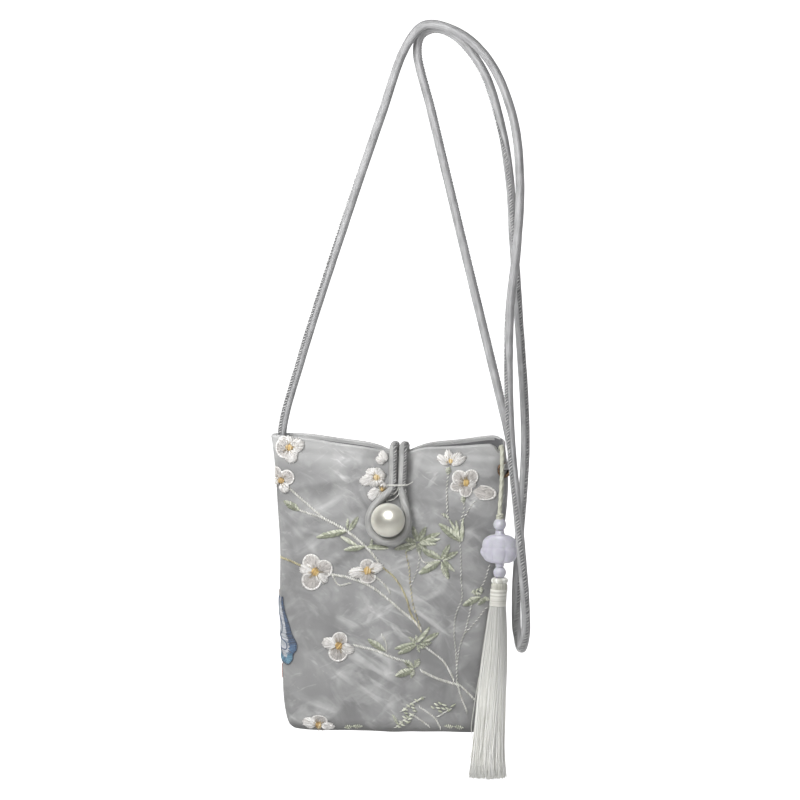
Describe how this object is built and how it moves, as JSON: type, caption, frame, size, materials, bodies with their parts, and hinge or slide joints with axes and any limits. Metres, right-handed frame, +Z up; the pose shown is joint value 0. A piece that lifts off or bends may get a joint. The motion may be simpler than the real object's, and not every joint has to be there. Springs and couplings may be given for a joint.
{
  "type": "embroidered evening bag",
  "caption": "Small silver-grey satin evening pouch with floral embroidery, pearl button and loop, beaded silk tassel and a long cord strap, hanging.",
  "frame": {"origin": "under the crown of the strap, where it hangs on a peg", "axes": "+Z up, +Y from the front of the bag to its back, +X to the right seen from the front"},
  "size_m": [0.1625, 0.0431, 0.4601],
  "materials": {
    "satin": "soft sheen",
    "strap_cloth": "soft sheen",
    "thread": "silky",
    "pearl": "pearl gloss",
    "brass": "aged metal",
    "celadon_cord": "silky",
    "lavender_bead": "satin gloss",
    "silk": "silky"
  },
  "bodies": {
    "root": {"bag_shell": "satin", "strap": "strap_cloth", "strap_knot": "strap_cloth", "eyelet_right": "brass", "button_loop": "strap_cloth", "loop_tie": "thread", "pearl_button": "pearl", "tassel_cord": "celadon_cord", "bead_upper": "lavender_bead", "bead_flower": "lavender_bead", "bead_lower": "lavender_bead", "tassel_crown": "silk", "tassel_band": "silk", "tassel": "silk"}
  },
  "joints": []
}
